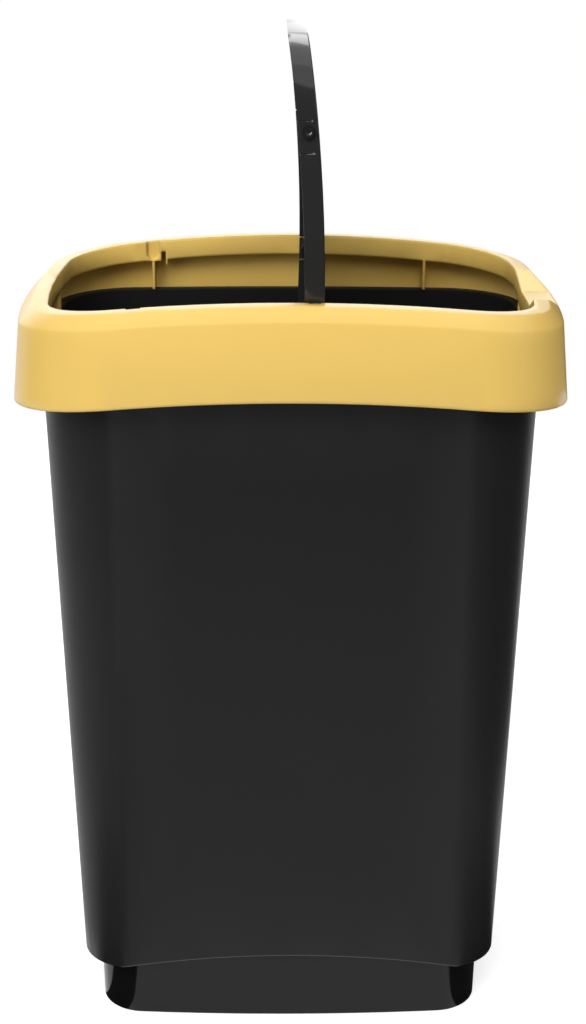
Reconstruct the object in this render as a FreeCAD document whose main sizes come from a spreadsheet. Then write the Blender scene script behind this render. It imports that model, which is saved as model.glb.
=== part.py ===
# A swing-lid recycling bin. A tapered tub stands on a recessed plinth. A collar drops over the
# tub's rim and carries an arched lid, which swings on two pins and is shown standing open.
# X runs to the right, Y to the back, Z up, and the origin is the middle of the base.

import FreeCAD
import Part
import math
import os
import Sketcher

doc = FreeCAD.newDocument("swing_lid_bin")
sheet = doc.addObject("Spreadsheet::Sheet", "size")

# Driving sizes in millimetres and degrees
SIZES = [
    ("mouth_width", 290.0),  # clear opening inside the collar, left to right
    ("mouth_depth", 210.0),  # clear opening inside the collar, front to back
    ("mouth_corner", 44.0),  # corner radius of the opening
    ("side_bulge", 640.0),  # plan radius of the bowed left and right sides
    ("front_bulge", 1360.0),  # plan radius of the bowed front and back
    ("tub_rim_height", 436.0),  # top of the tub above the ground
    ("rim_rise", 36.0),  # top of the collar's arch above the tub's rim
    ("arch_radius", 1040.0),  # radius of the arch of the collar and the lid
    ("rim_width", 9.0),  # flat top of the collar
    ("bevel", 7.5),  # slope between the flat top and the outer wall
    ("collar_height", 53.0),  # from the top of the collar to its lower edge
    ("collar_flare", 5.0),  # slope of the outer wall, degrees
    ("collar_wall", 2.2),
    ("lip_height", 12.6),  # inner lip round the opening
    ("scoop_depth", 9.6),  # finger scoop in the right side of the rim
    ("scoop_floor", 40.0),  # flat length of the scoop
    ("scoop_ramp", 27.5),  # run of each sloped end of the scoop
    ("rib_wall", 1.6),
    ("rib_hook", 11.0),  # how far the ribs reach down outside the tub's rim
    ("side_rib_spread", 64.0),  # distance between the two ribs of each side
    ("tub_rim_grow", 5.0),  # how far the tub's rim lies outside the opening
    ("tub_draft", 2.25),  # slope of the tub's walls, degrees
    ("tub_wall", 2.4),
    ("bead_width", 4.0),  # bead round the tub's rim
    ("bead_height", 6.0),
    ("bead_round", 1.2),  # rounding of the rim's upper edges
    ("skirt_height", 39.0),  # lower edge of the tub above the ground, at the sides
    ("skirt_arch_rise", 11.0),  # rise of that edge in the middle of front and back
    ("skirt_arch_radius", 515.0),
    ("tub_floor_height", 60.0),  # top of the tub's floor above the ground
    ("tub_floor", 3.0),
    ("plinth_step", 11.2),  # how far the plinth's foot lies inside the tub's lower edge
    ("plinth_corner", 28.0),
    ("plinth_draft", 1.6),
    ("plinth_wall", 2.4),
    ("plinth_floor", 3.0),
    ("plinth_edge", 1.5),  # rounding of the plinth's lower edge
    ("spigot_height", 8.0),  # ring under the tub that locates the plinth
    ("spigot_wall", 2.0),
    ("fit_gap", 0.4),  # clearance between pieces that slip together
    ("lid_gap", 1.6),  # clearance between the lid and the opening
    ("lid_edge", 11.5),  # height of the lid's skirt
    ("lid_wall", 2.2),
    ("lid_round", 1.2),  # rounding of the lid's upper edge
    ("pivot_offset", 12.6),  # pivot to the right of the middle
    ("pin_drop", 8.0),  # pins below the collar's arch, in the middle of the lid's edge
    ("rest_reach", 102.3),  # from the pivot to the rest pins
    ("pin_diameter", 6.0),
    ("pin_bore", 3.6),
    ("pin_reach", 3.3),  # how far a pin stands out of the lid's skirt
    ("pin_head", 8.6),
    ("pin_head_height", 1.2),
    ("pin_gap", 0.35),  # clearance of the pivot pins in their bearings
    ("push_gap", 0.15),  # clearance of the pins and their heads in the lid
    ("boss_wall", 1.8),  # wall of the sleeve round each pin in the lid
    ("boss_length", 5.0),
    ("clip_width", 8.4),  # clear width of a rest clip
    ("clip_wall", 1.0),
    ("bearing_wall", 1.6),
    ("bearing_foot", 16.0),  # lower end of a bearing below the arch
    ("groove_depth", 2.3),  # grooves for the pins, cut into the lip
    ("groove_back", 2.0),  # wall behind a groove
    ("blade_offset", 8.2),  # thin blade beside each rest clip
    ("blade_wall", 1.2),
    ("blade_drop", 3.2),  # how far the blade hangs below the lip
    ("blade_depth", 6.0),
    ("notch_height", 5.6),  # notch in the lip between clip and blade
    ("slit", 0.9),  # slits that free the snap tongues
    ("slit_land", 0.8),  # skirt left between a slit and the lid's panel
    ("slit_outer", 6.2),  # from a rest pin to the slit on its outer side
    ("slit_inner", 11.6),  # from a rest pin to the slit on its inner side
    ("slit_pivot", 7.5),  # from a pivot pin to the slits beside it
    ("lid_angle", 90.0),  # how far the lid stands open
    ("spare", 40.0),  # overrun of the shapes that only cut
]
for row, (alias, number) in enumerate(SIZES, start=1):
    sheet.set(f"A{row}", alias)
    sheet.set(f"B{row}", str(number))
    sheet.setAlias(f"B{row}", alias)
doc.recompute()

# Places worked out from the driving sizes
RIM_HEIGHT = "(size.tub_rim_height + size.rim_rise)"
ARCH_CENTRE = f"({RIM_HEIGHT} - size.arch_radius)"
PIN_RADIUS = "(size.arch_radius - size.pin_drop)"
PIVOT_X = "size.pivot_offset"
PIVOT_Z = f"({ARCH_CENTRE} + sqrt({PIN_RADIUS} ^ 2 - {PIVOT_X} ^ 2))"
REST_X = "(size.pivot_offset - size.rest_reach)"
REST_Z = f"({ARCH_CENTRE} + sqrt({PIN_RADIUS} ^ 2 - {REST_X} ^ 2))"
SIDE_CREST = f"({ARCH_CENTRE} + sqrt(size.arch_radius ^ 2 - (size.mouth_width / 2) ^ 2))"
BEVEL_FOOT = f"({RIM_HEIGHT} - size.bevel)"
COLLAR_LOW = "(size.tub_rim_height - size.spare)"
COLLAR_HIGH = f"({RIM_HEIGHT} + size.spare)"
TUB_FLOOR_UNDER = "(size.tub_floor_height - size.tub_floor)"
BEAD_GROW = "(size.tub_rim_grow + size.bead_width)"
LID_TOP = "(size.pin_drop - size.lid_edge / 2)"
LID_FOOT = "(size.pin_drop + size.lid_edge / 2)"
SWING = (
    "placement(vector(0; 0; 0); rotation(vector(0; 1; 0); size.lid_angle);"
    f" vector({PIVOT_X}; 0; {PIVOT_Z}))"
)


def collar_grow(level):
    """Distance of the collar's outer wall from the opening at a level."""
    return f"(size.rim_width + size.bevel + ({BEVEL_FOOT} - {level}) * tan(size.collar_flare))"


def tub_grow(level):
    """Distance of the tub's outer wall from the opening at a level."""
    return f"(size.tub_rim_grow - (size.tub_rim_height - {level}) * tan(size.tub_draft))"


def plinth_grow(level):
    """Distance of the plinth's outer wall from the opening at a level."""
    return f"({tub_grow('size.skirt_height')} - size.plinth_step + {level} * tan(size.plinth_draft))"


def arch_level(radius, place):
    """Height of an arch of the collar's centre at a place along its width."""
    return f"({ARCH_CENTRE} + sqrt(({radius}) ^ 2 - {place} ^ 2))"


def back_line(grow, place):
    """How far back the bowed rear of the opening, grown by a distance, lies at a place along its width."""
    bow = f"sqrt((size.front_bulge + {grow}) ^ 2 - {place} ^ 2)"
    return f"(size.mouth_depth / 2 - size.front_bulge + {bow})"


PLINTH_CORNER = f"(size.plinth_corner - {plinth_grow('0')})"


def value(expression):
    return float(sheet.evalExpression(expression))


def new_sketch(body, name, role):
    sketch = body.newObject("Sketcher::SketchObject", name)
    plane = [feature for feature in body.Origin.OriginFeatures if feature.Role == role][0]
    sketch.AttachmentSupport = [(plane, "")]
    sketch.MapMode = "FlatFace"
    return sketch


def bind(sketch, constraint, name, expression):
    """Adds a dimension to a sketch and ties it to the sheet."""
    index = sketch.addConstraint(constraint)
    sketch.renameConstraint(index, name)
    sketch.setExpression(f"Constraints.{name}", expression)


def plan_sketch(body, name, level, grow, corner="size.mouth_corner"):
    """Level outline of the opening, grown outwards: four bowed sides and four round corners."""
    half_width = value("size.mouth_width / 2")
    half_depth = value("size.mouth_depth / 2")
    side_radius = value("size.side_bulge")
    front_radius = value("size.front_bulge")
    corner_radius = value(corner)
    growth = value(grow)
    side_middle = half_width - side_radius
    front_middle = half_depth - front_radius
    # A corner's middle lies at known distances from the middles of the two sides it joins
    span = math.hypot(side_middle, front_middle)
    to_side = side_radius - corner_radius
    to_front = front_radius - corner_radius
    along = (to_side ** 2 - to_front ** 2 + span ** 2) / (2 * span)
    across = math.sqrt(to_side ** 2 - along ** 2)
    step_x = -side_middle / span
    step_y = front_middle / span
    corner_x = side_middle + along * step_x - across * step_y
    corner_y = along * step_y + across * step_x
    turn_side = math.atan2(corner_y, corner_x - side_middle)
    turn_front = math.atan2(corner_y - front_middle, corner_x)
    arcs = []
    for quarter in range(4):
        facing_side = quarter % 2 == 0
        start = quarter * math.pi / 2
        bow = turn_side if facing_side else math.pi / 2 - turn_front
        middle = side_middle if facing_side else front_middle
        radius = side_radius if facing_side else front_radius
        outward = FreeCAD.Vector(math.cos(start), math.sin(start), 0)
        arcs.append((outward * middle, radius + growth, start - bow, start + bow))
        sign_x = 1 if quarter in (0, 3) else -1
        sign_y = 1 if quarter in (0, 1) else -1
        next_bow = math.pi / 2 - turn_front if facing_side else turn_side
        centre = FreeCAD.Vector(sign_x * corner_x, sign_y * corner_y, 0)
        turn = (start + bow, start + math.pi / 2 - next_bow)
        arcs.append((centre, corner_radius + growth, turn[0], turn[1]))
    sketch = new_sketch(body, name, "XY_Plane")
    sketch.setExpression("AttachmentOffset.Base.z", level)
    up = FreeCAD.Vector(0, 0, 1)
    for centre, radius, first, last in arcs:
        sketch.addGeometry(Part.ArcOfCircle(Part.Circle(centre, up, radius), first, last), False)
    for index in range(8):
        sketch.addConstraint(Sketcher.Constraint("Tangent", index, 2, (index + 1) % 8, 1))
    for quarter in range(4):
        side = 2 * quarter
        facing_side = quarter % 2 == 0
        bulge = "size.side_bulge" if facing_side else "size.front_bulge"
        half = "size.mouth_width / 2" if facing_side else "size.mouth_depth / 2"
        sketch.addConstraint(Sketcher.Constraint("PointOnObject", side, 3, -1 if facing_side else -2))
        reach = Sketcher.Constraint("Distance", -1, 1, side, 3, value(f"{bulge} - {half}"))
        bind(sketch, reach, f"reach_{quarter}", f"{bulge} - {half}")
        bow = Sketcher.Constraint("Radius", side, value(f"{bulge} + {grow}"))
        bind(sketch, bow, f"bow_{quarter}", f"{bulge} + {grow}")
        turn = Sketcher.Constraint("Radius", side + 1, value(f"{corner} + {grow}"))
        bind(sketch, turn, f"corner_{quarter}", f"{corner} + {grow}")
    return sketch


def add_loft(body, name, lower, upper, kind="Additive"):
    loft = body.newObject(f"PartDesign::{kind}Loft", name)
    loft.Profile = lower
    loft.Sections = [upper]
    loft.Ruled = True
    body.Tip = loft
    return loft


def drafted_block(name, low, high, grow, corner="size.mouth_corner"):
    """Body between two levels, whose outline follows a wall given by its distance at each level."""
    body = doc.addObject("PartDesign::Body", name)
    lower = plan_sketch(body, f"{name}_low", low, grow(low), corner)
    upper = plan_sketch(body, f"{name}_high", high, grow(high), corner)
    add_loft(body, f"{name}_loft", lower, upper)
    return body


def cut_through(body, sketch, name):
    """Cuts a sketch through the whole body, to both sides of its plane."""
    pocket = body.newObject("PartDesign::Pocket", name)
    pocket.Profile = sketch
    pocket.Type = "Length"
    pocket.SideType = "Symmetric"
    pocket.setExpression("Length", "2 * size.mouth_depth")
    body.Tip = pocket
    return pocket


def arc_cut(body, name, radius, centre, edge):
    """Cuts away all between an arc over the whole width and a level line above or below it."""
    sketch = new_sketch(body, f"{name}_sketch", "XZ_Plane")
    half = value("size.mouth_width")
    arc_radius = value(radius)
    middle = value(centre)
    level = value(edge)
    turn = math.asin(half / arc_radius)
    foot = middle + arc_radius * math.cos(turn)
    circle = Part.Circle(FreeCAD.Vector(0, middle, 0), FreeCAD.Vector(0, 0, 1), arc_radius)
    sketch.addGeometry(Part.ArcOfCircle(circle, math.pi / 2 - turn, math.pi / 2 + turn), False)
    corners = [(-half, foot), (-half, level), (half, level), (half, foot)]
    for start, end in zip(corners, corners[1:]):
        line = Part.LineSegment(FreeCAD.Vector(*start, 0), FreeCAD.Vector(*end, 0))
        sketch.addGeometry(line, False)
    sketch.addConstraint(Sketcher.Constraint("Coincident", 0, 2, 1, 1))
    sketch.addConstraint(Sketcher.Constraint("Coincident", 1, 2, 2, 1))
    sketch.addConstraint(Sketcher.Constraint("Coincident", 2, 2, 3, 1))
    sketch.addConstraint(Sketcher.Constraint("Coincident", 3, 2, 0, 1))
    sketch.addConstraint(Sketcher.Constraint("Vertical", 1))
    sketch.addConstraint(Sketcher.Constraint("Vertical", 3))
    sketch.addConstraint(Sketcher.Constraint("PointOnObject", 0, 3, -2))
    sketch.addConstraint(Sketcher.Constraint("Symmetric", 2, 1, 2, 2, -2))
    bind(sketch, Sketcher.Constraint("Radius", 0, arc_radius), "arc_radius", radius)
    bind(sketch, Sketcher.Constraint("DistanceX", 2, 1, 2, 2, 2 * half), "span", "2 * size.mouth_width")
    rise = Sketcher.Constraint("DistanceY", 0, 3, 2, 1, level - middle)
    bind(sketch, rise, "rise", f"{edge} - {centre}")
    place = Sketcher.Constraint("Distance", -1, 1, 0, 3, abs(middle))
    bind(sketch, place, "place", f"abs({centre})")
    return cut_through(body, sketch, name)


def crown_cut(body, drop):
    """Cuts off what lies above the collar's arch, lowered by a drop."""
    return arc_cut(body, f"{body.Name}_crown", f"size.arch_radius - {drop}", ARCH_CENTRE, COLLAR_HIGH)


def scoop_cut(body, drop):
    """Cuts the finger scoop into the right side, lowered by a drop."""
    sketch = new_sketch(body, f"{body.Name}_scoop_sketch", "YZ_Plane")
    floor = f"({SIDE_CREST} - size.scoop_depth - {drop})"
    top = COLLAR_HIGH
    flare = f"({top} - {floor}) * size.scoop_ramp / size.scoop_depth"
    half_floor = value("size.scoop_floor / 2")
    half_top = value(f"size.scoop_floor / 2 + {flare}")
    low = value(floor)
    high = value(top)
    corners = [(-half_floor, low), (half_floor, low), (half_top, high), (-half_top, high)]
    for index in range(4):
        start = FreeCAD.Vector(*corners[index], 0)
        end = FreeCAD.Vector(*corners[(index + 1) % 4], 0)
        sketch.addGeometry(Part.LineSegment(start, end), False)
    for index in range(4):
        sketch.addConstraint(Sketcher.Constraint("Coincident", index, 2, (index + 1) % 4, 1))
    sketch.addConstraint(Sketcher.Constraint("Symmetric", 0, 1, 0, 2, -2))
    sketch.addConstraint(Sketcher.Constraint("Symmetric", 2, 1, 2, 2, -2))
    bind(sketch, Sketcher.Constraint("DistanceX", 0, 1, 0, 2, 2 * half_floor), "floor", "size.scoop_floor")
    top_width = f"size.scoop_floor + 2 * {flare}"
    bind(sketch, Sketcher.Constraint("DistanceX", 2, 2, 2, 1, 2 * half_top), "top", top_width)
    bind(sketch, Sketcher.Constraint("DistanceY", -1, 1, 0, 1, low), "low", floor)
    bind(sketch, Sketcher.Constraint("DistanceY", -1, 1, 2, 1, high), "high", top)
    pocket = body.newObject("PartDesign::Pocket", f"{body.Name}_scoop")
    pocket.Profile = sketch
    pocket.Type = "Length"
    pocket.Reversed = True
    pocket.setExpression("Length", "size.mouth_width")
    body.Tip = pocket
    return pocket


def bevel_crest(body, size):
    """Bevels the edge between the collar's arched top and its outer wall."""
    doc.recompute()
    crowned = body.Tip
    crest_edges = []
    for number, edge in enumerate(crowned.Shape.Edges, start=1):
        if edge.BoundBox.ZMin > value(f"{SIDE_CREST} - size.bevel"):
            crest_edges.append(f"Edge{number}")
    bevel = body.newObject("PartDesign::Chamfer", f"{body.Name}_bevel")
    bevel.Base = (crowned, crest_edges)
    bevel.setExpression("Size", size)
    body.Tip = bevel


def straight_wall(grow):
    """Wall without slope, at one distance from the opening."""
    return lambda level: f"({grow})"


def block(name, sides, place):
    """Box given by expressions for its three sides and for its lowest corner."""
    box = doc.addObject("Part::Box", name)
    for side, expression in zip(("Length", "Width", "Height"), sides):
        box.setExpression(side, expression)
    for axis, expression in zip("xyz", place):
        box.setExpression(f"Placement.Base.{axis}", expression)
    return box


def rod(name, radius, length, place):
    """Cylinder along +Y, given by expressions for its sizes and for the middle of its near end."""
    cylinder = doc.addObject("Part::Cylinder", name)
    cylinder.setExpression("Radius", radius)
    cylinder.setExpression("Height", length)
    cylinder.Placement = FreeCAD.Placement(FreeCAD.Vector(), FreeCAD.Rotation(FreeCAD.Vector(1, 0, 0), -90))
    for axis, expression in zip("xyz", place):
        cylinder.setExpression(f"Placement.Base.{axis}", expression)
    return cylinder


def mirrored(shape, name):
    """The same shape at the front."""
    mirror = doc.addObject("Part::Mirroring", name)
    mirror.Source = shape
    mirror.Normal = FreeCAD.Vector(0, 1, 0)
    return mirror


def joined(name, shapes):
    union = doc.addObject("Part::MultiFuse", name)
    union.Shapes = shapes
    return union


def cut(name, base, tool):
    difference = doc.addObject("Part::Cut", name)
    difference.Base = base
    difference.Tool = tool
    return difference


def shared(name, base, tool):
    overlap = doc.addObject("Part::Common", name)
    overlap.Base = base
    overlap.Tool = tool
    return overlap


# Plinth: a tray with a closed bottom, whose wall reaches up to the tub's floor
plinth = drafted_block("plinth", "0", TUB_FLOOR_UNDER, plinth_grow, PLINTH_CORNER)
inside_low = plan_sketch(
    plinth, "plinth_inside_low", "size.plinth_floor",
    f"({plinth_grow('size.plinth_floor')} - size.plinth_wall)", PLINTH_CORNER,
)
inside_high = plan_sketch(
    plinth, "plinth_inside_high", TUB_FLOOR_UNDER,
    f"({plinth_grow(TUB_FLOOR_UNDER)} - size.plinth_wall)", PLINTH_CORNER,
)
add_loft(plinth, "plinth_inside", inside_low, inside_high, "Subtractive")
doc.recompute()
tray = plinth.Tip
foot_edges = []
for number, edge in enumerate(tray.Shape.Edges, start=1):
    if edge.BoundBox.ZMax < 1e-6:
        foot_edges.append(f"Edge{number}")
rounding = plinth.newObject("PartDesign::Fillet", "plinth_rounding")
rounding.Base = (tray, foot_edges)
rounding.setExpression("Radius", "size.plinth_edge")
plinth.Tip = rounding

# Tub: drafted shell with a bead round its rim, and under its floor an arched skirt and a ring for the plinth
tub = drafted_block("tub", "size.skirt_height", "size.tub_rim_height", tub_grow)
bead_level = "(size.tub_rim_height - size.bead_height)"
bead_sketch = plan_sketch(tub, "tub_bead_sketch", bead_level, BEAD_GROW)
bead = tub.newObject("PartDesign::Pad", "tub_bead")
bead.Profile = bead_sketch
bead.setExpression("Length", "size.bead_height")
tub.Tip = bead
room_low = plan_sketch(
    tub, "tub_room_low", "size.tub_floor_height", f"({tub_grow('size.tub_floor_height')} - size.tub_wall)"
)
room_high = plan_sketch(
    tub, "tub_room_high", "size.tub_rim_height", f"({tub_grow('size.tub_rim_height')} - size.tub_wall)"
)
add_loft(tub, "tub_room", room_low, room_high, "Subtractive")
under_low = plan_sketch(
    tub, "tub_under_low", "size.skirt_height", f"({tub_grow('size.skirt_height')} - size.tub_wall)"
)
under_high = plan_sketch(
    tub, "tub_under_high", TUB_FLOOR_UNDER, f"({tub_grow(TUB_FLOOR_UNDER)} - size.tub_wall)"
)
add_loft(tub, "tub_under", under_low, under_high, "Subtractive")
doc.recompute()
open_tub = tub.Tip
rim_edges = []
for number, edge in enumerate(open_tub.Shape.Edges, start=1):
    if edge.BoundBox.ZMin > value("size.tub_rim_height - size.bead_round"):
        rim_edges.append(f"Edge{number}")
rim_round = tub.newObject("PartDesign::Fillet", "tub_rim_round")
rim_round.Base = (open_tub, rim_edges)
rim_round.setExpression("Radius", "size.bead_round")
tub.Tip = rim_round
arch_top = "(size.skirt_height + size.skirt_arch_rise)"
arc_cut(
    tub, "tub_skirt_arch", "size.skirt_arch_radius",
    f"({arch_top} - size.skirt_arch_radius)", "(size.skirt_height - size.skirt_arch_radius)",
)
spigot_level = f"({TUB_FLOOR_UNDER} - size.spigot_height)"
spigot_grow = f"({plinth_grow(spigot_level)} - size.plinth_wall - size.fit_gap)"
spigot_sketch = plan_sketch(tub, "tub_spigot_sketch", spigot_level, spigot_grow, PLINTH_CORNER)
spigot = tub.newObject("PartDesign::Pad", "tub_spigot")
spigot.Profile = spigot_sketch
spigot.setExpression("Length", "size.spigot_height")
tub.Tip = spigot
spigot_room_sketch = plan_sketch(
    tub, "tub_spigot_room_sketch", TUB_FLOOR_UNDER, f"({spigot_grow} - size.spigot_wall)", PLINTH_CORNER
)
spigot_room = tub.newObject("PartDesign::Pocket", "tub_spigot_room")
spigot_room.Profile = spigot_room_sketch
spigot_room.setExpression("Length", "size.spigot_height")
tub.Tip = spigot_room

# Collar shell: flared wall under the arch, bevelled along its upper edge, with the scoop and an arched foot
shell = drafted_block("collar_shell", COLLAR_LOW, COLLAR_HIGH, collar_grow)
crown_cut(shell, "0")
bevel_crest(shell, "size.bevel")
scoop_cut(shell, "0")
arc_cut(
    shell, "collar_foot", "size.arch_radius",
    f"({ARCH_CENTRE} - size.collar_height)", f"({COLLAR_LOW} - size.arch_radius)",
)

# Collar hollow: what the shell leaves open below its top, one wall inside the shell all over
hollow = drafted_block(
    "collar_hollow", f"({COLLAR_LOW} - size.spare)", COLLAR_HIGH,
    lambda level: f"({collar_grow(level)} - size.collar_wall)",
)
crown_cut(hollow, "size.collar_wall")
bevel_crest(hollow, "size.bevel - (2 - sqrt(2)) * size.collar_wall")
scoop_cut(hollow, "size.collar_wall")

# Inner lip: a band below the arch and the scoop, round the opening
lip_block = drafted_block("lip_block", COLLAR_LOW, COLLAR_HIGH, straight_wall("size.collar_wall"))
crown_cut(lip_block, "0")
scoop_cut(lip_block, "0")
lip_under = drafted_block("lip_under", COLLAR_LOW, COLLAR_HIGH, straight_wall("size.collar_wall"))
crown_cut(lip_under, "size.lip_height")
scoop_cut(lip_under, "size.lip_height")
lip = cut("lip", lip_block, lip_under)

mouth = drafted_block("mouth", f"({COLLAR_LOW} - size.spare)", COLLAR_HIGH, straight_wall("0"))

# Ribs across the hollow: they stand on the tub's rim and hook over its bead
rib_low = "(size.tub_rim_height - size.rib_hook)"
rib_rise = f"({RIM_HEIGHT} - {rib_low})"
ribs = []
for name, place in (("left", REST_X), ("right", f"-{REST_X}")):
    ribs.append(block(
        f"{name}_rib", ("size.rib_wall", "2 * size.mouth_depth", rib_rise),
        (f"{place} - size.rib_wall / 2", "-size.mouth_depth", rib_low),
    ))
for name, sign in (("front", "-"), ("rear", "")):
    ribs.append(block(
        f"{name}_side_rib", ("2 * size.mouth_width", "size.rib_wall", rib_rise),
        ("-size.mouth_width", f"{sign}size.side_rib_spread / 2 - size.rib_wall / 2", rib_low),
    ))
seat = drafted_block(
    "seat", f"({COLLAR_LOW} - size.spare)", "size.tub_rim_height",
    straight_wall(f"{BEAD_GROW} + size.fit_gap"),
)
rib_set = cut("rib_set", shared("rib_blanks", joined("rib_plates", ribs), hollow), seat)


def holder(name, place_x, place_z, half_gap, wall, foot):
    """Block behind the lip that holds a pin, and the groove cut in it from above, both at the rear."""
    lip_back = back_line("0", place_x)
    near = "size.mouth_depth / 4"
    back = f"({lip_back} + size.groove_depth + size.groove_back)"
    half_block = f"({half_gap} + {wall})"
    body = block(
        f"{name}_block", (f"2 * {half_block}", f"{back} - {near}", f"{RIM_HEIGHT} - {foot}"),
        (f"{place_x} - {half_block}", near, foot),
    )
    depth = f"{lip_back} + size.groove_depth - {near}"
    slot = block(
        f"{name}_slot", (f"2 * {half_gap}", depth, f"{COLLAR_HIGH} - {place_z}"),
        (f"{place_x} - {half_gap}", near, place_z),
    )
    basin = rod(f"{name}_basin", half_gap, depth, (place_x, near, place_z))
    return body, joined(f"{name}_groove", [slot, basin])


# Bearings for the pivot pins, and clips that take the rest pins when the lid is shut
bearing_gap = "(size.pin_diameter / 2 + size.pin_gap)"
bearing, bearing_groove = holder(
    "bearing", PIVOT_X, PIVOT_Z, bearing_gap, "size.bearing_wall", f"({RIM_HEIGHT} - size.bearing_foot)"
)
clip_half = "(size.clip_width / 2)"
clip, clip_groove = holder(
    "clip", REST_X, REST_Z, clip_half, "size.clip_wall", f"({REST_Z} - {clip_half} - size.clip_wall)"
)

# Thin blade that hangs beside each rest clip, with a notch in the lip between them
blade_x = f"({REST_X} + size.blade_offset)"
lip_foot = arch_level("size.arch_radius - size.lip_height", REST_X)
blade = block(
    "blade", ("size.blade_wall", "size.blade_depth", "size.notch_height + size.blade_drop"),
    (blade_x, back_line("0", REST_X), f"{lip_foot} - size.blade_drop"),
)
notch_x = f"({REST_X} + {clip_half} + size.clip_wall)"
notch = block(
    "notch", (f"{blade_x} - {notch_x}", "size.mouth_depth", "size.notch_height + size.spare"),
    (notch_x, "size.mouth_depth / 4", f"{lip_foot} - size.spare"),
)
notched_lip = cut("notched_lip", lip, joined("notches", [notch, mirrored(notch, "front_notch")]))
holders = joined("holders", [
    bearing, clip, mirrored(bearing, "front_bearing"), mirrored(clip, "front_clip"),
])
collar_blank = joined("collar_blank", [
    cut("collar_frame", shell, hollow), notched_lip, rib_set, shared("trimmed_holders", holders, shell),
    blade, mirrored(blade, "front_blade"),
])
collar_cuts = joined("collar_cuts", [
    mouth, bearing_groove, clip_groove,
    mirrored(bearing_groove, "front_bearing_groove"), mirrored(clip_groove, "front_clip_groove"),
])
collar = cut("collar", collar_blank, collar_cuts)

# Lid, drawn shut: an arched panel with a skirt, rounded along its upper edge and hollow below
lid_block = drafted_block("lid_block", COLLAR_LOW, COLLAR_HIGH, straight_wall("-size.lid_gap"))
crown_cut(lid_block, LID_TOP)
doc.recompute()
lid_crown = lid_block.Tip
lid_edges = []
for number, edge in enumerate(lid_crown.Shape.Edges, start=1):
    if edge.BoundBox.ZMin > value(f"{SIDE_CREST} - {LID_FOOT}"):
        lid_edges.append(f"Edge{number}")
lid_round = lid_block.newObject("PartDesign::Fillet", "lid_rounding")
lid_round.Base = (lid_crown, lid_edges)
lid_round.setExpression("Radius", "size.lid_round")
lid_block.Tip = lid_round
arc_cut(
    lid_block, "lid_foot", f"size.arch_radius - {LID_FOOT}", ARCH_CENTRE,
    f"({COLLAR_LOW} - size.arch_radius)",
)
lid_hollow = drafted_block(
    "lid_hollow", COLLAR_LOW, COLLAR_HIGH, straight_wall("-size.lid_gap - size.lid_wall")
)
crown_cut(lid_hollow, f"({LID_TOP} + size.lid_wall)")

# Sleeves, holes and head reliefs for the pins, slits that free the tongues they stand on, and the pins
sleeves = []
openings = []
pins = []
for name, place_x, place_z in (("pivot", PIVOT_X, PIVOT_Z), ("rest", REST_X, REST_Z)):
    skirt = back_line("(-size.lid_gap)", place_x)
    inner_end = f"({skirt} - size.lid_wall - size.boss_length)"
    sleeve = rod(
        f"{name}_sleeve", "size.pin_diameter / 2 + size.boss_wall",
        f"{skirt} - size.lid_wall / 2 - {inner_end}", (place_x, inner_end, place_z),
    )
    hole = rod(
        f"{name}_hole", "size.pin_diameter / 2 + size.push_gap",
        f"{skirt} + size.spare - {inner_end}", (place_x, inner_end, place_z),
    )
    shank = rod(
        f"{name}_shank", "size.pin_diameter / 2", f"{skirt} + size.pin_reach - {inner_end}",
        (place_x, inner_end, place_z),
    )
    head_end = f"({inner_end} - size.pin_head_height)"
    head = rod(f"{name}_head", "size.pin_head / 2", "size.pin_head_height", (place_x, head_end, place_z))
    bore = rod(
        f"{name}_bore", "size.pin_bore / 2", f"{skirt} + size.pin_reach - {head_end}",
        (place_x, head_end, place_z),
    )
    solid = joined(f"{name}_pin_solid", [shank, head])
    rear_pin = cut(f"{name}_pin_rear", solid, bore)
    front_solid = mirrored(solid, f"front_{name}_pin_solid")
    front_pin = cut(f"{name}_pin_front", front_solid, mirrored(bore, f"front_{name}_bore"))
    for pin in (rear_pin, front_pin):
        pin.setExpression("Placement", SWING)
        pins.append(pin)
    sleeves += [sleeve, mirrored(sleeve, f"front_{name}_sleeve")]
    relief = rod(
        f"{name}_relief", "size.pin_head / 2 + size.push_gap", "size.pin_head_height + size.push_gap",
        (place_x, f"{head_end} - size.push_gap", place_z),
    )
    for opening in (hole, relief):
        openings += [opening, mirrored(opening, f"front_{opening.Name}")]
slit_places = {
    "outer": f"({REST_X} - size.slit_outer)",
    "inner": f"({REST_X} + size.slit_inner)",
    "pivot_left": f"({PIVOT_X} - size.slit_pivot)",
    "pivot_right": f"({PIVOT_X} + size.slit_pivot)",
}
for name, place_x in slit_places.items():
    slit_end = arch_level(f"size.arch_radius - {LID_TOP} - size.lid_wall - size.slit_land", place_x)
    slit = block(
        f"{name}_slit", ("size.slit", "size.mouth_depth", f"{slit_end} - {COLLAR_LOW}"),
        (f"{place_x} - size.slit / 2", "size.mouth_depth / 4", COLLAR_LOW),
    )
    openings += [slit, mirrored(slit, f"front_{name}_slit")]
lid_blank = joined("lid_blank", [cut("lid_shell", lid_block, lid_hollow)] + sleeves)
swing_lid = cut("swing_lid", lid_blank, joined("lid_openings", openings))
swing_lid.setExpression("Placement", SWING)

# Checks, then one file for each piece
doc.recompute()
for obj in doc.Objects:
    if "Invalid" in obj.State or "Error" in obj.State:
        raise RuntimeError(f"{obj.Label} could not be built")
os.makedirs("parts", exist_ok=True)
for piece in (tub, plinth, collar, swing_lid, *pins):
    shape = piece.Shape
    if shape.isNull() or not shape.isValid() or len(shape.Solids) != 1:
        raise RuntimeError(f"{piece.Label} is not one sound solid")
    print(piece.Label, round(shape.Volume / 1000, 2), "cubic centimetres")
for piece in (tub, plinth, collar, swing_lid, *pins):
    piece.Shape.exportStep(f"parts/{piece.Label}.step")
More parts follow.
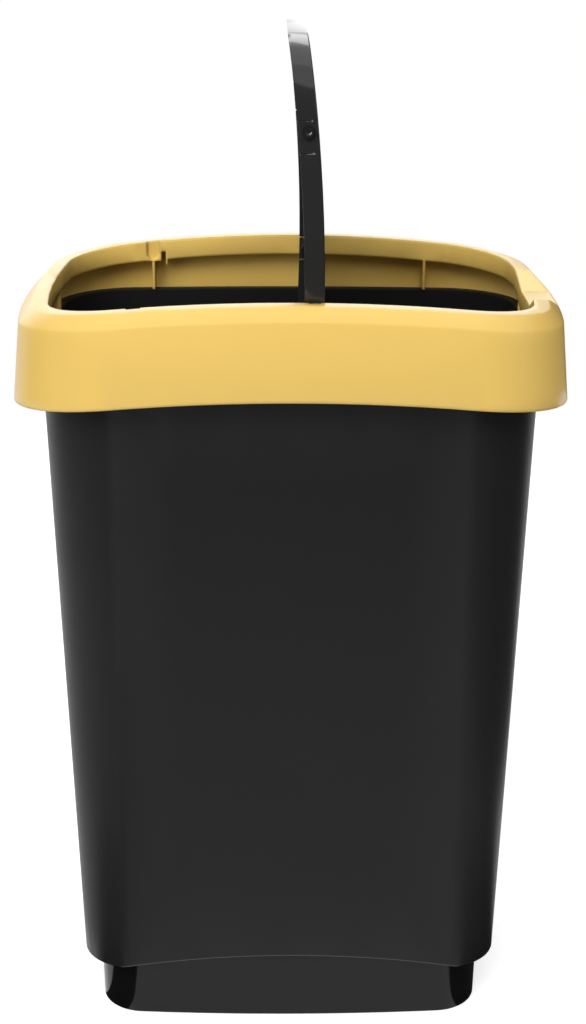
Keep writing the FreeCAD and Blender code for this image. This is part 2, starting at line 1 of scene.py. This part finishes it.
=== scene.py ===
# A swing-lid recycling bin standing open on a white studio floor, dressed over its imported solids.
# Lengths are in metres, X to the right, Y to the back, Z up, and the origin is the middle of the base.

import math

import bmesh
import bpy
from mathutils import Matrix, Vector

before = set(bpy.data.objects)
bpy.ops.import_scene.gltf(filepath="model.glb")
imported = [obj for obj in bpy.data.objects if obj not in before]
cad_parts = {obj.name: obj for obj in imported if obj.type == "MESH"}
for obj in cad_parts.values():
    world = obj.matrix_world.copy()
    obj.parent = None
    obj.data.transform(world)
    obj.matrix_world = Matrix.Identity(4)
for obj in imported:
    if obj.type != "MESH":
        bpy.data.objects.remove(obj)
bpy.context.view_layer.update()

# Plinth: a shallow polished black shoe under the tub, moulded in one piece in polypropylene.
# Its wall plugs over a ring below the tub's floor, so only the lower part of the wall shows.
PLINTH_BLACK = (0.0035, 0.0035, 0.0038, 1.0)
PLINTH_RUBBED = (0.0060, 0.0060, 0.0063, 1.0)
WELD_GAP = 0.00001
SHARP_ANGLE = math.radians(35)
# Places of the colour sockets on a Mix node, which share their names with its other sockets.
COLOUR_A, COLOUR_B, COLOUR_OUT = 6, 7, 2


def moulded_skin_group():
    """Skin of an injection moulding: fine grain of the tool, slow waves of shrinkage and rubbed patches."""
    group = bpy.data.node_groups.new("moulded skin", "ShaderNodeTree")
    face = group.interface
    face.new_socket("Place", in_out="INPUT", socket_type="NodeSocketVector")
    for setting in ("Grain Scale", "Wave Scale", "Wave Share", "Smooth Value", "Rough Value"):
        face.new_socket(setting, in_out="INPUT", socket_type="NodeSocketFloat")
    for result in ("Height", "Roughness", "Patch"):
        face.new_socket(result, in_out="OUTPUT", socket_type="NodeSocketFloat")
    nodes, links = group.nodes, group.links
    entry = nodes.new("NodeGroupInput")
    leave = nodes.new("NodeGroupOutput")
    grain = nodes.new("ShaderNodeTexNoise")
    grain.inputs["Detail"].default_value = 3.0
    grain.inputs["Roughness"].default_value = 0.6
    wave = nodes.new("ShaderNodeTexNoise")
    wave.inputs["Detail"].default_value = 2.0
    wave.inputs["Roughness"].default_value = 0.45
    patch = nodes.new("ShaderNodeTexNoise")
    patch.inputs["Scale"].default_value = 12.0
    patch.inputs["Detail"].default_value = 2.0
    patch.inputs["Distortion"].default_value = 0.6
    height = nodes.new("ShaderNodeMix")
    height.data_type = "FLOAT"
    finish = nodes.new("ShaderNodeMapRange")
    finish.inputs["From Min"].default_value = 0.3
    finish.inputs["From Max"].default_value = 0.7
    for texture in (grain, wave, patch):
        links.new(entry.outputs["Place"], texture.inputs["Vector"])
    links.new(entry.outputs["Grain Scale"], grain.inputs["Scale"])
    links.new(entry.outputs["Wave Scale"], wave.inputs["Scale"])
    links.new(entry.outputs["Wave Share"], height.inputs["Factor"])
    links.new(grain.outputs["Fac"], height.inputs["A"])
    links.new(wave.outputs["Fac"], height.inputs["B"])
    links.new(patch.outputs["Fac"], finish.inputs["Value"])
    links.new(entry.outputs["Smooth Value"], finish.inputs["To Min"])
    links.new(entry.outputs["Rough Value"], finish.inputs["To Max"])
    links.new(height.outputs["Result"], leave.inputs["Height"])
    links.new(finish.outputs["Result"], leave.inputs["Roughness"])
    links.new(patch.outputs["Fac"], leave.inputs["Patch"])
    return group


moulded_skin = moulded_skin_group()


def moulded_plastic(name, colour, worn_colour, shine, smooth, rough, grain, wave, wave_share, relief):
    """Moulded plastic whose colour, gloss and relief vary as the skin of a moulding does."""
    material = bpy.data.materials.new(name)
    material.use_nodes = True
    nodes, links = material.node_tree.nodes, material.node_tree.links
    shader = nodes["Principled BSDF"]
    shader.inputs["Specular IOR Level"].default_value = shine
    place = nodes.new("ShaderNodeTexCoord")
    skin = nodes.new("ShaderNodeGroup")
    skin.node_tree = moulded_skin
    skin.inputs["Grain Scale"].default_value = grain
    skin.inputs["Wave Scale"].default_value = wave
    skin.inputs["Wave Share"].default_value = wave_share
    skin.inputs["Smooth Value"].default_value = smooth
    skin.inputs["Rough Value"].default_value = rough
    tone = nodes.new("ShaderNodeMix")
    tone.data_type = "RGBA"
    tone.inputs[COLOUR_A].default_value = colour
    tone.inputs[COLOUR_B].default_value = worn_colour
    bump = nodes.new("ShaderNodeBump")
    bump.inputs["Strength"].default_value = 1.0
    bump.inputs["Distance"].default_value = relief
    links.new(place.outputs["Object"], skin.inputs["Place"])
    links.new(skin.outputs["Patch"], tone.inputs["Factor"])
    links.new(tone.outputs[COLOUR_OUT], shader.inputs["Base Color"])
    links.new(skin.outputs["Roughness"], shader.inputs["Roughness"])
    links.new(skin.outputs["Height"], bump.inputs["Height"])
    links.new(bump.outputs["Normal"], shader.inputs["Normal"])
    return material


def dress(node, material, edge):
    """Gives a solid its plastic and eases its sharp edges, as a mould leaves them."""
    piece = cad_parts[node]
    piece.data.materials.clear()
    piece.data.materials.append(material)
    weld = piece.modifiers.new("weld", "WELD")
    weld.merge_threshold = WELD_GAP
    ease = piece.modifiers.new("eased edges", "BEVEL")
    ease.width = edge
    ease.segments = 2
    ease.limit_method = "ANGLE"
    ease.angle_limit = SHARP_ANGLE
    ease.harden_normals = True


polished_black = moulded_plastic(
    "polished black", PLINTH_BLACK, PLINTH_RUBBED,
    shine=0.24, smooth=0.10, rough=0.18, grain=900.0, wave=60.0, wave_share=0.7, relief=0.00005,
)
dress("plinth", polished_black, edge=0.0003)

# Tub: a tapered container with a fine satin grain from its spark-eroded mould, thin walled.
# Its beaded rim sits hidden below the collar, and its skirt arches over the plinth at front and back.
# A thin pale line along that arched edge is a painted highlight, standing in for the light its rounded edge
# catches.
SKIRT_ARCH_RADIUS = 0.515
SKIRT_ARCH_TOP = 0.050
SKIRT_ARCH_CENTRE = SKIRT_ARCH_TOP - SKIRT_ARCH_RADIUS
SKIRT_HIGHLIGHT_END = 0.0007
SKIRT_HIGHLIGHT_FULL = 0.0004


def grey(level):
    """Neutral colour of the given brightness."""
    return (level, level, level, 1.0)


def calculation(nodes, operation):
    """Math node for one operation."""
    node = nodes.new("ShaderNodeMath")
    node.operation = operation
    return node


TUB_BLACK = grey(0.0116)
TUB_RUBBED = grey(0.0124)
# Grey of the painted highlight along the skirt's arched lower edge.
SKIRT_HIGHLIGHT_GREY = grey(0.085)
satin_black = moulded_plastic(
    "satin black", TUB_BLACK, TUB_RUBBED,
    shine=0.13, smooth=0.36, rough=0.42, grain=1500.0, wave=14.0, wave_share=0.35, relief=0.00006,
)
tub_nodes, tub_links = satin_black.node_tree.nodes, satin_black.node_tree.links
tub_shader = tub_nodes["Principled BSDF"]
tub_tone = tub_shader.inputs["Base Color"].links[0].from_socket
tub_place = tub_nodes.new("ShaderNodeTexCoord")
tub_axes = tub_nodes.new("ShaderNodeSeparateXYZ")
across_squared = calculation(tub_nodes, "MULTIPLY")
drop = calculation(tub_nodes, "SUBTRACT")
drop.inputs[0].default_value = SKIRT_ARCH_RADIUS**2
arch = calculation(tub_nodes, "SQRT")
above = calculation(tub_nodes, "SUBTRACT")
# Painted highlight: a thin pale band is painted along the skirt's arched lower edge, in place of the light
# it catches.
skirt_highlight = tub_nodes.new("ShaderNodeMapRange")
skirt_highlight.inputs["From Min"].default_value = SKIRT_ARCH_CENTRE + SKIRT_HIGHLIGHT_END
skirt_highlight.inputs["From Max"].default_value = SKIRT_ARCH_CENTRE + SKIRT_HIGHLIGHT_FULL
skirt_highlight_tone = tub_nodes.new("ShaderNodeMix")
skirt_highlight_tone.data_type = "RGBA"
skirt_highlight_tone.inputs[COLOUR_B].default_value = SKIRT_HIGHLIGHT_GREY
tub_links.new(tub_place.outputs["Object"], tub_axes.inputs["Vector"])
tub_links.new(tub_axes.outputs["X"], across_squared.inputs[0])
tub_links.new(tub_axes.outputs["X"], across_squared.inputs[1])
tub_links.new(across_squared.outputs["Value"], drop.inputs[1])
tub_links.new(drop.outputs["Value"], arch.inputs[0])
tub_links.new(tub_axes.outputs["Z"], above.inputs[0])
tub_links.new(arch.outputs["Value"], above.inputs[1])
tub_links.new(above.outputs["Value"], skirt_highlight.inputs["Value"])
tub_links.new(skirt_highlight.outputs["Result"], skirt_highlight_tone.inputs["Factor"])
tub_links.new(tub_tone, skirt_highlight_tone.inputs[COLOUR_A])
tub_links.new(skirt_highlight_tone.outputs[COLOUR_OUT], tub_shader.inputs["Base Color"])
dress("tub", satin_black, edge=0.0005)

# Collar: a glossy yellow frame, one moulding, that drops over the tub's rim and rests on it by ribs.
# It holds the open-top bearings and the rest clips of the lid and the finger scoop on the right.
# Its bevels run softly into each other, which the shading alone shows.
COLLAR_YELLOW = (0.790, 0.530, 0.132, 1.0)
COLLAR_RUBBED = (0.792, 0.532, 0.133, 1.0)
COLLAR_SOFTNESS = 0.0025
glossy_yellow = moulded_plastic(
    "glossy yellow", COLLAR_YELLOW, COLLAR_RUBBED,
    shine=0.45, smooth=0.29, rough=0.32, grain=1100.0, wave=18.0, wave_share=0.4, relief=0.000015,
)
collar_nodes, collar_links = glossy_yellow.node_tree.nodes, glossy_yellow.node_tree.links
soft_edge = collar_nodes.new("ShaderNodeBevel")
soft_edge.samples = 8
soft_edge.inputs["Radius"].default_value = COLLAR_SOFTNESS
collar_links.new(soft_edge.outputs["Normal"], collar_nodes["Bump"].inputs["Normal"])
dress("collar", glossy_yellow, edge=0.0005)

# Lid: an arched black panel with a shallow skirt, which swings on two pins and stands open here.
# Slits in the skirt free the snap tongues that carry the pins.
LID_BLACK = grey(0.0200)
LID_RUBBED = grey(0.0220)
lid_black = moulded_plastic(
    "lid black", LID_BLACK, LID_RUBBED,
    shine=0.5, smooth=0.11, rough=0.15, grain=1200.0, wave=30.0, wave_share=0.5, relief=0.000004,
)
dress("swing_lid", lid_black, edge=0.0003)

# Pins: hollow push-in studs of a smooth black plastic, turned a little shinier where they rub.
# Two carry the lid in the bearings, and two drop into the rest clips when the lid is shut.
PIN_BLACK = grey(0.0080)
PIN_RUBBED = grey(0.0120)
pin_black = moulded_plastic(
    "pin black", PIN_BLACK, PIN_RUBBED,
    shine=0.2, smooth=0.42, rough=0.50, grain=2200.0, wave=200.0, wave_share=0.3, relief=0.00003,
)
for pin in ("pivot_pin_front", "pivot_pin_rear", "rest_pin_front", "rest_pin_rear"):
    dress(pin, pin_black, edge=0.0002)

# Studio floor: a pale sheet of paper that shows white to the eye and keeps the soft shadow under the bin.
# It glows a little in the picture and in mirrored light only, so it lights the bin no more than paper does.
FLOOR_HALF_WIDTH = 1.4
FLOOR_HALF_DEPTH = 0.95
FLOOR_MIDDLE = (0.0, 0.4, 0.0)
FLOOR_WHITE = grey(0.80)
FLOOR_GLOW = 0.60


def shown_to_the_eye(nodes, links):
    """Value that is 1 for what the camera sees, mirrored or through something too, and 0 for other light."""
    path = nodes.new("ShaderNodeLightPath")
    seen_or_mirrored = calculation(nodes, "MAXIMUM")
    shown = calculation(nodes, "MAXIMUM")
    links.new(path.outputs["Is Camera Ray"], seen_or_mirrored.inputs[0])
    links.new(path.outputs["Is Glossy Ray"], seen_or_mirrored.inputs[1])
    links.new(seen_or_mirrored.outputs["Value"], shown.inputs[0])
    links.new(path.outputs["Is Transmission Ray"], shown.inputs[1])
    return shown.outputs["Value"]


def studio_piece(name, shape, material):
    """Object made from a finished bmesh that belongs to the studio, not to the bin."""
    mesh = bpy.data.meshes.new(name)
    shape.to_mesh(mesh)
    shape.free()
    mesh.materials.append(material)
    piece = bpy.data.objects.new(name, mesh)
    bpy.context.scene.collection.objects.link(piece)
    return piece


floor_paper = bpy.data.materials.new("floor paper")
floor_paper.use_nodes = True
paper_nodes, paper_links = floor_paper.node_tree.nodes, floor_paper.node_tree.links
paper_nodes.remove(paper_nodes["Principled BSDF"])
paper = paper_nodes.new("ShaderNodeBsdfDiffuse")
paper.inputs["Color"].default_value = FLOOR_WHITE
glow = paper_nodes.new("ShaderNodeEmission")
glow_level = calculation(paper_nodes, "MULTIPLY")
glow_level.inputs[1].default_value = FLOOR_GLOW
both = paper_nodes.new("ShaderNodeAddShader")
paper_links.new(shown_to_the_eye(paper_nodes, paper_links), glow_level.inputs[0])
paper_links.new(glow_level.outputs["Value"], glow.inputs["Strength"])
paper_links.new(paper.outputs["BSDF"], both.inputs[0])
paper_links.new(glow.outputs["Emission"], both.inputs[1])
paper_links.new(both.outputs["Shader"], paper_nodes["Material Output"].inputs["Surface"])
floor_shape = bmesh.new()
bmesh.ops.create_grid(floor_shape, x_segments=1, y_segments=1, size=1.0)
bmesh.ops.scale(floor_shape, vec=(FLOOR_HALF_WIDTH, FLOOR_HALF_DEPTH, 1.0), verts=floor_shape.verts)
bmesh.ops.translate(floor_shape, vec=FLOOR_MIDDLE, verts=floor_shape.verts)
studio_piece("studio_floor", floor_shape, floor_paper)

# Light: a large soft box in front and above, one to the left, and weak ones overhead and on the right.
# A bright screen behind the bin gives the upper rim and the rounded sides their pale edges.
# The front and left boxes are kept out of mirrored light, so the black pieces show no bright panes.
BIN_MIDDLE = (0.0, 0.0, 0.35)
BIN_UPPER_HALF = (0.0, 0.0, 0.40)


def soft_box(name, place, target, width, height, power):
    """Rectangular soft light aimed at a point, not seen itself."""
    lamp = bpy.data.lights.new(name, "AREA")
    lamp.shape = "RECTANGLE"
    lamp.size = width
    lamp.size_y = height
    lamp.energy = power
    holder = bpy.data.objects.new(name, lamp)
    aim = Vector(target) - Vector(place)
    turn = aim.to_track_quat("-Z", "Y").to_matrix().to_4x4()
    holder.matrix_world = Matrix.Translation(place) @ turn
    holder.visible_camera = False
    bpy.context.scene.collection.objects.link(holder)
    return holder


soft_box("overhead_box", (0.0, 0.1, 2.0), BIN_UPPER_HALF, width=1.8, height=1.4, power=5.0)
left_box = soft_box("left_box", (-1.1, -1.6, 1.25), BIN_MIDDLE, width=1.2, height=1.4, power=15.5)
left_box.visible_glossy = False
soft_box("right_fill", (1.6, -0.7, 1.2), BIN_MIDDLE, width=1.0, height=1.2, power=5.0)
front_box = soft_box("front_box", (-0.28, -1.75, 1.95), BIN_MIDDLE, width=1.8, height=1.2, power=34.5)
front_box.visible_glossy = False
soft_box("rear_screen", (-0.3, 2.4, 1.3), BIN_UPPER_HALF, width=3.8, height=1.8, power=24.0)

# Gloss card: a glowing card over the bin, out of the picture, that only polished faces mirror.
# It fades to the back, so the upward end of the open lid shows an even bright band.
CARD_WIDTH = 0.9
CARD_LENGTH = 2.29
CARD_MIDDLE = (0.0, 1.50, 2.016)
CARD_TILT = math.radians(16.4)
CARD_GLOW = 6.9
CARD_FAR_SHARE = 0.52
CARD_REACH = CARD_LENGTH / 2 * math.cos(CARD_TILT)


def mirrored_only(piece):
    """Leaves a piece of the studio to mirrored light: it isn't seen, and gives no light and no shade."""
    piece.visible_camera = False
    piece.visible_diffuse = False
    piece.visible_shadow = False


card_glow = bpy.data.materials.new("card glow")
card_glow.use_nodes = True
card_nodes, card_links = card_glow.node_tree.nodes, card_glow.node_tree.links
card_shader = card_nodes["Principled BSDF"]
card_shader.inputs["Base Color"].default_value = grey(0.0)
card_shader.inputs["Emission Strength"].default_value = CARD_GLOW
card_spot = card_nodes.new("ShaderNodeTexCoord")
card_axes = card_nodes.new("ShaderNodeSeparateXYZ")
card_fade = card_nodes.new("ShaderNodeMapRange")
card_fade.inputs["From Min"].default_value = CARD_MIDDLE[1] - CARD_REACH
card_fade.inputs["From Max"].default_value = CARD_MIDDLE[1] + CARD_REACH
card_fade.inputs["To Min"].default_value = 1.0
card_fade.inputs["To Max"].default_value = CARD_FAR_SHARE
card_links.new(card_spot.outputs["Object"], card_axes.inputs["Vector"])
card_links.new(card_axes.outputs["Y"], card_fade.inputs["Value"])
card_links.new(card_fade.outputs["Result"], card_shader.inputs["Emission Color"])
card_shape = bmesh.new()
bmesh.ops.create_grid(card_shape, x_segments=1, y_segments=1, size=0.5)
bmesh.ops.scale(card_shape, vec=(CARD_WIDTH, CARD_LENGTH, 1.0), verts=card_shape.verts)
card_place = Matrix.Translation(CARD_MIDDLE) @ Matrix.Rotation(CARD_TILT, 4, "X")
bmesh.ops.transform(card_shape, matrix=card_place, verts=card_shape.verts)
mirrored_only(studio_piece("gloss_card", card_shape, card_glow))

# Dark curtain: hung round the bin on a bow rail and open only behind it, out of the picture itself.
# The satin and the polished blacks mirror it, so they stay deep and turn pale only near their far edges.
CURTAIN_RADIUS = 2.9
CURTAIN_FOOT = -0.6
CURTAIN_HEIGHT = 3.2
CURTAIN_LEFT = math.radians(-116)
CURTAIN_RIGHT = math.radians(168)
CURTAIN_STEPS = 48


def dull_cloth(name, colour):
    """Dull cloth of one colour."""
    cloth = bpy.data.materials.new(name)
    cloth.use_nodes = True
    cloth.node_tree.nodes["Principled BSDF"].inputs["Base Color"].default_value = colour
    cloth.node_tree.nodes["Principled BSDF"].inputs["Roughness"].default_value = 0.9
    return cloth


curtain_cloth = dull_cloth("curtain cloth", grey(0.02))
curtain_shape = bmesh.new()
hem = Matrix.Rotation(CURTAIN_LEFT, 3, "Z") @ Vector((0.0, -CURTAIN_RADIUS, CURTAIN_FOOT))
hem_end = curtain_shape.verts.new(hem)
rail_end = curtain_shape.verts.new(hem + Vector((0.0, 0.0, CURTAIN_HEIGHT)))
curtain_side = curtain_shape.edges.new((hem_end, rail_end))
bmesh.ops.spin(
    curtain_shape, geom=[hem_end, rail_end, curtain_side], cent=(0.0, 0.0, 0.0), axis=(0.0, 0.0, 1.0),
    angle=CURTAIN_RIGHT - CURTAIN_LEFT, steps=CURTAIN_STEPS,
)
mirrored_only(studio_piece("dark_curtain", curtain_shape, curtain_cloth))

# Floor sheets: dark cloth laid close beside the bin and a grey one further right, out of the picture too.
# The plinth's corners mirror the near ones as black bands, and the tub's right corner the far one.
LEFT_SHEET = ((-0.103, -0.072), (-0.113, -0.055), (-0.325, -0.110), (-0.300, -0.240), (-0.160, -0.285))
RIGHT_SHEET = ((0.106, -0.070), (0.232, -0.250), (0.340, -0.100), (0.340, 0.070), (0.113, -0.010))
FAR_RIGHT_SHEET = ((0.36, -0.50), (1.35, -0.90), (1.35, 0.95), (0.36, 0.30))
SHEET_LIFT = 0.0004
grey_cloth = dull_cloth("grey cloth", grey(0.18))
for sheet_name, corners, cloth in (
    ("left_sheet", LEFT_SHEET, curtain_cloth),
    ("right_sheet", RIGHT_SHEET, curtain_cloth),
    ("far_right_sheet", FAR_RIGHT_SHEET, grey_cloth),
):
    sheet_shape = bmesh.new()
    sheet_shape.faces.new([sheet_shape.verts.new((x, y, SHEET_LIFT)) for x, y in corners])
    mirrored_only(studio_piece(sheet_name, sheet_shape, cloth))

# Room: white all round to the eye and in mirrored light, with a quieter level that lights the bin.
# The white shows above the curtain and behind the bin.
ROOM_WHITE = 1.0
ROOM_LIGHT = 0.25
room = bpy.data.worlds.new("white room")
bpy.context.scene.world = room
room.use_nodes = True
room_nodes, room_links = room.node_tree.nodes, room.node_tree.links
air = room_nodes["Background"]
air.inputs["Color"].default_value = grey(1.0)
air_level = room_nodes.new("ShaderNodeMapRange")
air_level.inputs["To Min"].default_value = ROOM_LIGHT
air_level.inputs["To Max"].default_value = ROOM_WHITE
room_links.new(shown_to_the_eye(room_nodes, room_links), air_level.inputs["Value"])
room_links.new(air_level.outputs["Result"], air.inputs["Strength"])

# Camera: a little above the bin, in front of it and just left of its middle, looking down.
# Its place, lens and shift come from fitting the bin's edges in the photograph.
CAMERA_PLACE = (-0.01262, -1.19786, 0.70952)
CAMERA_PITCH = math.radians(17.849)
CAMERA_YAW = math.radians(0.681)
CAMERA_ROLL = math.radians(0.216)
view_data = bpy.data.cameras.new("photo_camera")
view_data.sensor_width = 36.0
view_data.lens = 69.75
view_data.shift_x = 0.00074
view_data.shift_y = -0.01479
view_camera = bpy.data.objects.new("photo_camera", view_data)
aim_down = Matrix.Rotation(math.pi / 2 - CAMERA_PITCH, 4, "X")
turn_right = Matrix.Rotation(-CAMERA_YAW, 4, "Z")
tilt = Matrix.Rotation(CAMERA_ROLL, 4, "Z")
view_camera.matrix_world = Matrix.Translation(CAMERA_PLACE) @ turn_right @ aim_down @ tilt
bpy.context.scene.collection.objects.link(view_camera)
bpy.context.scene.camera = view_camera
bpy.context.scene.view_settings.view_transform = "Standard"
